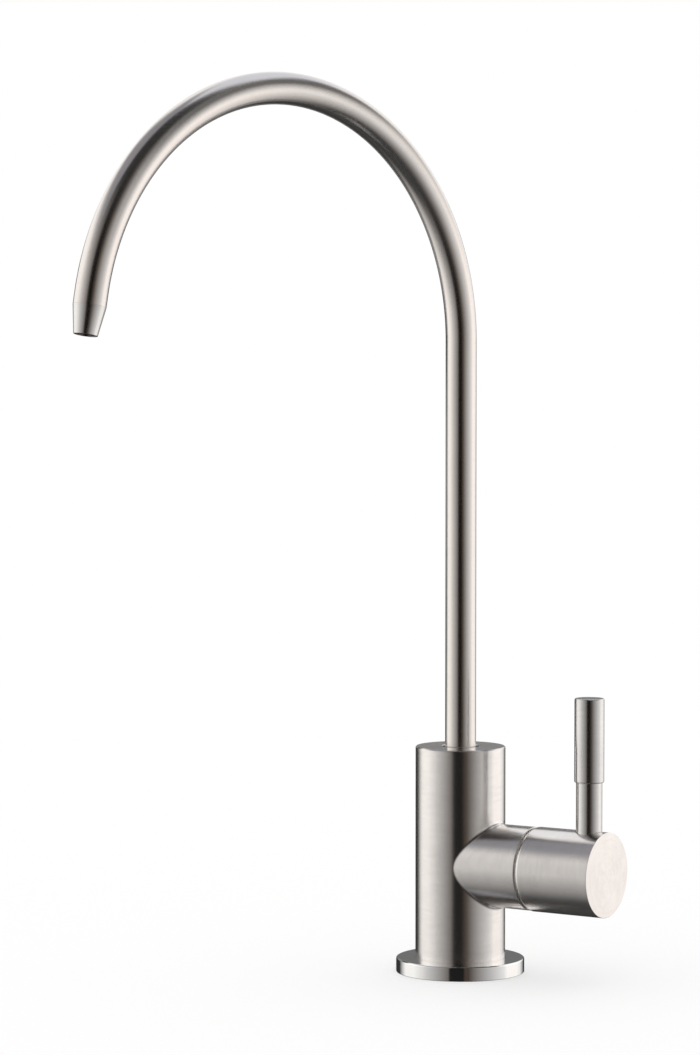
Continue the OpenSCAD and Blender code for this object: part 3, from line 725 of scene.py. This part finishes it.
class TAP_OT_nozzle(Operator):
    """Tapered nozzle with its plug, the insert's seat and a rounded mouth"""

    bl_idname = "tap.nozzle"
    bl_label = "Nozzle"

    def execute(self, context):
        size = context.scene.tap_spout
        outer = size.tube_d / 2
        plug = outer - size.wall - CLEAR
        mouth = size.mouth_d / 2
        seat = mouth - size.seat_wall
        outlet = mouth - size.mouth_rim
        outline = rounded([
            (plug, -size.plug_len, size.plug_edge), (plug, 0, 0), (outer - size.join, 0, 0),
            (outer, size.join, 0), (mouth, size.nozzle_len, size.lip), (outlet, size.nozzle_len, size.lip),
            (outlet, size.seat_depth, 0), (seat, size.seat_depth, 0), (seat, -size.plug_len, 0),
        ])
        # the outline's run up to the mouth's face, past which the base colour is darker
        face = next(i for i, (r, z) in enumerate(outline) if z > size.nozzle_len - MERGE)
        inside = sum(math.dist(*ends) for ends in zip(outline[:face], outline[1:]))
        steel = finish_named("nozzle_steel", bore=(inside, context.scene.tap_finish.bore))
        shell = Shell()
        turned(shell, outline, at_outlet(size, size.tail))
        shell.piece("tapered_nozzle", steel, "spout", "tube_steel", "spout_nozzle")
        return {"FINISHED"}


# Handle


class TAP_OT_hub(Operator):
    """Hub of the handle with its bevelled rim, bores and the lever's spot face"""

    bl_idname = "tap.hub"
    bl_label = "Hub"

    def execute(self, context):
        size = context.scene.tap_handle
        rim = HUB_HIGH.y
        long = HUB_HIGH.x - HUB_LOW.x
        place = along_arm(HUB_LOW.x)
        spot = size.spot_d / 2
        lever = LEVER_X - HUB_LOW.x
        shell = Shell()

        def spot_edge(t):
            return math.asin(spot * math.cos(t) / rim), lever + spot * math.sin(t)

        wall_start = size.rim_len + size.rim_edge / 3       # past the rounding of the bevel's edge
        wall_end = long - size.end_edge
        turns, angles = pierced(shell, rim, wall_start, wall_end, spot_edge, place, HUB_WALL)
        seat = math.sqrt(rim * rim - spot * spot) - size.spot_depth
        thread = size.thread_d / 2
        deep = size.socket_d / 2 + CLEAR / 5                # just short of the stem's socket
        wall = [[place @ Vector((rim * math.cos(side), spot * math.cos(t), height))
                 for t, (side, height) in zip(turns, map(spot_edge, turns))]]
        for r, up in ((spot, seat), (thread, seat), (thread, deep), (0, deep)):
            wall.append([place @ Vector((up, r * math.cos(t), lever + r * math.sin(t))) for t in turns])
        ring_sheet(shell, wall, turns, spot)
        bore = rim - size.wall
        floor = long - size.solid
        socket = size.socket_d / 2
        socket_end = long - size.end_wall
        skirt = rounded([
            (rim, wall_start, 0), (rim, size.rim_len, size.rim_edge),
            (rim - size.rim_depth, 0, size.skirt_edge), (bore, 0, 0), (bore, floor, 0),
            (socket, floor, 0), (socket, socket_end, 0), (0, socket_end, 0),
        ])
        turned(shell, skirt, place, angles, closed=False)
        end = [(rim, wall_end), (rim - size.end_edge, long), (0, long)]
        turned(shell, end, place, angles, closed=False)
        steel = finish_named("turned_satin_steel")
        shell.piece("handle_cap", steel, "handle", "satin_steel", "handle_hub")
        return {"FINISHED"}


class TAP_OT_lever(Operator):
    """Lever: the thin rod and the thicker grip on its tenon"""

    bl_idname = "tap.lever"
    bl_label = "Lever"

    def execute(self, context):
        size = context.scene.tap_handle
        rod = ROD_HIGH.y
        grip = GRIP_HIGH.y
        tenon = size.tenon_d / 2
        stud = size.thread_d / 2 - CLEAR
        spot = size.spot_d / 2
        seat = ARM_Z + math.sqrt(HUB_HIGH.y ** 2 - spot * spot) - size.spot_depth
        place = Matrix.Translation((LEVER_X, 0, 0))
        shell = Shell()
        turned(shell, rounded([
            (0, ROD_LOW.z, 0), (stud, ROD_LOW.z, size.stud_edge), (stud, seat, 0),
            (rod, seat, size.rod_edge), (rod, GRIP_LOW.z, 0), (tenon, GRIP_LOW.z, 0),
            (tenon, ROD_HIGH.z, size.tenon_edge), (0, ROD_HIGH.z, 0),
        ]), place, closed=False)
        steel = finish_named("lever_steel")
        shell.piece("lever_stem_rod", steel, "handle", "satin_steel", "lever_rod")
        shell = Shell()
        bore = tenon + CLEAR
        turned(shell, rounded([
            (0, GRIP_HIGH.z, 0), (grip, GRIP_HIGH.z, size.grip_edge), (grip, GRIP_LOW.z, size.grip_edge),
            (bore, GRIP_LOW.z, 0), (bore, ROD_HIGH.z + CLEAR, 0), (0, ROD_HIGH.z + CLEAR, 0),
        ]), place, closed=False)
        shell.piece("lever_hand_grip", steel, "handle", "satin_steel", "lever_grip")
        return {"FINISHED"}


class TAP_OT_fittings(Operator):
    """Finishes of the seals, valve, swivel and clamp pieces that keep their CAD shape"""

    bl_idname = "tap.fittings"
    bl_label = "Fittings"

    finishes = {
        # painted shade: the spigot is darkened to stand for the shade in the gap between tube and socket
        "dark_steel": ("spout_spigot",),
        "plain_steel": ("snap_ring", "stem_clip", "lock_washer"),
        "machined_brass": ("cartridge_housing", "cartridge_stem", "mounting_nut"),
        "black_rubber": ("base_gasket", "housing_o_ring", "spout_o_rings", "stem_o_rings", "rubber_washer"),
        "white_plastic": ("shank_seal", "slip_washer", "wear_ring", "bearing_ring", "flow_straightener"),
        "black_plastic": ("spreader_washer",),
        "ceramic": ("fixed_disc", "moving_disc"),
        "red_silicone": ("seat_seal",),
        "black_steel": ("set_screw",),
    }

    def execute(self, context):
        for name, nodes in self.finishes.items():
            for node in nodes:
                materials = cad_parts[node].data.materials
                materials.clear()
                materials.append(finish_named(name))
        return {"FINISHED"}


# Studio


class Card:
    """A card that only the metal's reflections see, placed by degrees from the camera's side.

    A dome card rises by degrees and a wall card by metres. Both fade in evenly from their edges.
    """

    def __init__(self, name, azimuth, rise, soft, tone, away, wall=False):
        self.name = name
        self.azimuth = azimuth
        self.rise = rise
        self.soft = soft
        self.tone = tone
        self.away = away
        self.wall = wall

    def spot(self, facing, side, up):
        """Place of a point of the card, with the camera's side at the angle facing."""
        turn = facing - math.pi / 2 + math.radians(side)
        flat = Vector((math.cos(turn), math.sin(turn), 0))
        if self.wall:
            return flat * self.away + Vector((0, 0, up))
        rise = math.radians(up)
        return STUDIO_CENTRE + (flat * math.cos(rise) + Vector((0, 0, math.sin(rise)))) * self.away

    def cover(self, side, up):
        """How much of the card is there."""
        part = 1.0
        aside, below, above = self.soft
        for inside, soft in ((side - self.azimuth[0], aside), (self.azimuth[1] - side, aside),
                             (up - self.rise[0], below), (self.rise[1] - up, above)):
            if soft:
                part *= min(1.0, max(0.0, inside / soft))
        return part


def grey(level):
    return level, level, level


FLOOR_LIFT = 0.5                        # glow of the floor where it is seen
FLOOR_WHOLE = 0.6                       # share of the floor's radius that isn't faded
FLOOR_DROP = 0.01 * MM                  # below the deck's face
FLOOR_ROUGH = 0.9
FLOOR_CELLS = 60.0
FLOOR_SPREAD = 0.004
FLOOR_STEPS = 128
SENSOR = 36.0
CLIP_END = 20.0
CARD_ROWS = 40
STUDIO_CENTRE = Vector((0, 0, 0.05))    # of the dome cards
# name, degrees from the camera's side, rise, soft edges (sides, foot, top), tone, distance
CARDS = (
    Card("front_slit", (-23, 7), (-85, 90), (3, 4, 0), grey(0.007), 1.70),
    Card("front_fall", (-93, 92), (-85, 90), (79, 4, 0), (0.063, 0.046, 0.035), 1.72),
    Card("front_roof", (-85, 105), (28, 90), (30, 30, 0), grey(0.03), 1.68),
    Card("roof_right", (85, 200), (36, 90), (20, 14, 0), (0.74, 0.77, 0.85), 1.75),
    Card("roof_left", (-185, -90), (57, 90), (20, 14, 0), (0.3, 0.3, 0.32), 1.76),
    Card("bright_left", (-140, -62), (-60, 60), (10, 15, 15), (1.10, 1.08, 1.06), 1.80),
    Card("bright_right", (82, 130), (-60, 60), (9, 15, 15), (1.17, 1.12, 1.09), 1.80),
    Card("back_dark", (132, 243), (-70, 10), (24, 20, 6), grey(0.03), 1.65),
    Card("back_low", (150, 246), (0.04, 0.20), (14, 0.03, 0.03), grey(0.16), 0.52, wall=True),
    Card("back_mid", (150, 246), (0.11, 0.25), (14, 0.04, 0.03), grey(0.26), 0.51, wall=True),
    Card("back_high", (150, 246), (0.21, 0.38), (14, 0.03, 0.04), grey(0.04), 0.50, wall=True),
    Card("gap_left", (-148, -50), (34, 90), (14, 14, 0), (0.26, 0.26, 0.29), 1.55),
    Card("gap_right", (30, 135), (0.30, 1.00), (15, 0.28, 0.25), grey(0.13), 0.42, wall=True),
    Card("ground", (-180, 180), (-90, -4), (0, 0, 56), grey(0.05), 1.60),
)


class TAP_OT_stage(Operator):
    """Pale floor, plain white surround, cards for the metal to reflect, and the camera"""

    bl_idname = "tap.stage"
    bl_label = "Stage"

    def execute(self, context):
        studio = context.scene.tap_studio
        self.surround(context.scene, studio.sky)
        self.floor(context.scene, studio.floor_r, context.scene.tap_finish.floor)
        for card in CARDS:
            self.card(context.scene, card, studio.azimuth)
        self.camera(context.scene, studio)
        context.scene.view_settings.view_transform = "Standard"
        return {"FINISHED"}

    def surround(self, scene, level):
        world = bpy.data.worlds.new("white_surround")
        world.use_nodes = True
        plain = world.node_tree.nodes["Background"]
        plain.inputs["Color"].default_value = (1, 1, 1, 1)
        plain.inputs["Strength"].default_value = level
        scene.world = world

    def floor(self, scene, radius, tone):
        """Pale floor, lightened where it is seen, faded out into the surround and clear from below."""
        finish = Finish("pale_floor")
        finish.shader.inputs["Roughness"].default_value = FLOOR_ROUGH
        finish.shader.inputs["Specular IOR Level"].default_value = 0.0
        finish.tint(finish.noise("Object", FLOOR_CELLS), tone, FLOOR_SPREAD)
        place = finish.node("ShaderNodeTexCoord")
        away = finish.node("ShaderNodeVectorMath", operation="LENGTH")
        fade = finish.node("ShaderNodeMapRange", interpolation_type="SMOOTHSTEP")
        fade.inputs["From Min"].default_value = radius * FLOOR_WHOLE
        fade.inputs["From Max"].default_value = radius
        fade.inputs["To Min"].default_value = 1.0
        fade.inputs["To Max"].default_value = 0.0
        finish.link(place.outputs["Object"], away.inputs[0])
        finish.link(away.outputs["Value"], fade.inputs["Value"])
        side = finish.node("ShaderNodeNewGeometry")
        above = finish.node("ShaderNodeMath", operation="SUBTRACT", use_clamp=True)
        finish.link(fade.outputs["Result"], above.inputs[0])
        finish.link(side.outputs["Backfacing"], above.inputs[1])
        finish.link(above.outputs["Value"], finish.shader.inputs["Alpha"])
        path = finish.node("ShaderNodeLightPath")
        seen = path.outputs["Is Camera Ray"]
        for ray in ("Is Glossy Ray", "Is Transmission Ray"):
            either = finish.node("ShaderNodeMath", operation="MAXIMUM")
            finish.link(seen, either.inputs[0])
            finish.link(path.outputs[ray], either.inputs[1])
            seen = either.outputs["Value"]
        lift = finish.node("ShaderNodeMath", operation="MULTIPLY")
        lift.inputs[1].default_value = FLOOR_LIFT
        finish.link(seen, lift.inputs[0])
        finish.shader.inputs["Emission Color"].default_value = (1, 1, 1, 1)
        finish.link(lift.outputs["Value"], finish.shader.inputs["Emission Strength"])
        self.disc(scene, "pale_floor", radius, finish.material).visible_glossy = False

    def disc(self, scene, name, radius, material):
        made = bmesh.new()
        bmesh.ops.create_circle(made, cap_ends=True, segments=FLOOR_STEPS, radius=radius)
        data = bpy.data.meshes.new(name)
        made.to_mesh(data)
        made.free()
        data.materials.append(material)
        placed = bpy.data.objects.new(name, data)
        placed.location.z = -FLOOR_DROP
        scene.collection.objects.link(placed)
        return placed

    def card(self, scene, card, facing):
        """Glowing card that fades out by its cover, seen by reflections alone."""
        material = bpy.data.materials.new(card.name)
        material.use_nodes = True
        tree = material.node_tree
        tree.nodes.clear()
        cover = tree.nodes.new("ShaderNodeAttribute")
        cover.attribute_name = "cover"
        glow = tree.nodes.new("ShaderNodeEmission")
        clear = tree.nodes.new("ShaderNodeBsdfTransparent")
        mix = tree.nodes.new("ShaderNodeMixShader")
        out = tree.nodes.new("ShaderNodeOutputMaterial")
        glow.inputs["Color"].default_value = (*card.tone, 1)
        tree.links.new(cover.outputs["Fac"], mix.inputs["Fac"])
        tree.links.new(clear.outputs["BSDF"], mix.inputs[1])
        tree.links.new(glow.outputs["Emission"], mix.inputs[2])
        tree.links.new(mix.outputs["Shader"], out.inputs["Surface"])
        columns = card.azimuth[1] - card.azimuth[0]
        rows = CARD_ROWS
        sides = np.linspace(*card.azimuth, columns + 1)
        ups = np.linspace(*card.rise, rows + 1)
        points = [card.spot(facing, side, up) for up in ups for side in sides]
        covers = [card.cover(side, up) for up in ups for side in sides]
        corners = (0, 1, columns + 2, columns + 1)
        faces = [[row * (columns + 1) + column + corner for corner in corners]
                 for row in range(rows) for column in range(columns)]
        data = bpy.data.meshes.new(card.name)
        data.from_pydata(points, [], faces)
        data.shade_smooth()
        data.attributes.new("cover", "FLOAT", "POINT").data.foreach_set("value", covers)
        data.materials.append(material)
        made = bpy.data.objects.new(card.name, data)
        made.visible_camera = False
        made.visible_diffuse = False
        made.visible_shadow = False
        scene.collection.objects.link(made)

    def camera(self, scene, studio):
        flat = math.cos(studio.elevation)
        back = Vector((math.sin(studio.azimuth) * flat, -math.cos(studio.azimuth) * flat,
                       math.sin(studio.elevation)))
        lens = bpy.data.cameras.new("photo_camera")
        lens.lens = studio.lens
        lens.sensor_width = SENSOR
        lens.clip_end = CLIP_END
        camera = bpy.data.objects.new("photo_camera", lens)
        camera.location = Vector(studio.aim) + back * studio.distance
        camera.rotation_euler = (-back).to_track_quat("-Z", "Y").to_euler()
        scene.collection.objects.link(camera)
        scene.camera = camera


PIECES = (TAP_OT_body, TAP_OT_base, TAP_OT_shank, TAP_OT_spout, TAP_OT_nozzle, TAP_OT_hub, TAP_OT_lever,
          TAP_OT_fittings, TAP_OT_stage)
GROUPS = {"tap_body": TapBodySizes, "tap_spout": TapSpoutSizes, "tap_handle": TapHandleSizes,
          "tap_shank": TapShankSizes, "tap_finish": TapFinish, "tap_studio": TapStudio}


class TAP_PT_pieces(Panel):
    """Lists the tap's pieces and its stage"""

    bl_idname = "TAP_PT_pieces"
    bl_label = "Drinking water tap"
    bl_space_type = "VIEW_3D"
    bl_region_type = "UI"
    bl_category = "Tap"

    def draw(self, context):
        for piece in PIECES:
            self.layout.operator(piece.bl_idname)


def register():
    for kind in (*GROUPS.values(), *PIECES, TAP_PT_pieces):
        bpy.utils.register_class(kind)
    for name, group in GROUPS.items():
        setattr(bpy.types.Scene, name, PointerProperty(type=group))


def unregister():
    for name in GROUPS:
        delattr(bpy.types.Scene, name)
    for kind in (TAP_PT_pieces, *reversed(PIECES), *reversed(GROUPS.values())):
        bpy.utils.unregister_class(kind)


def main():
    register()
    bpy.ops.tap.body()
    bpy.ops.tap.base()
    bpy.ops.tap.shank()
    bpy.ops.tap.spout()
    bpy.ops.tap.nozzle()
    bpy.ops.tap.hub()
    bpy.ops.tap.lever()
    bpy.ops.tap.fittings()
    bpy.ops.tap.stage()


if __name__ == "__main__":
    main()
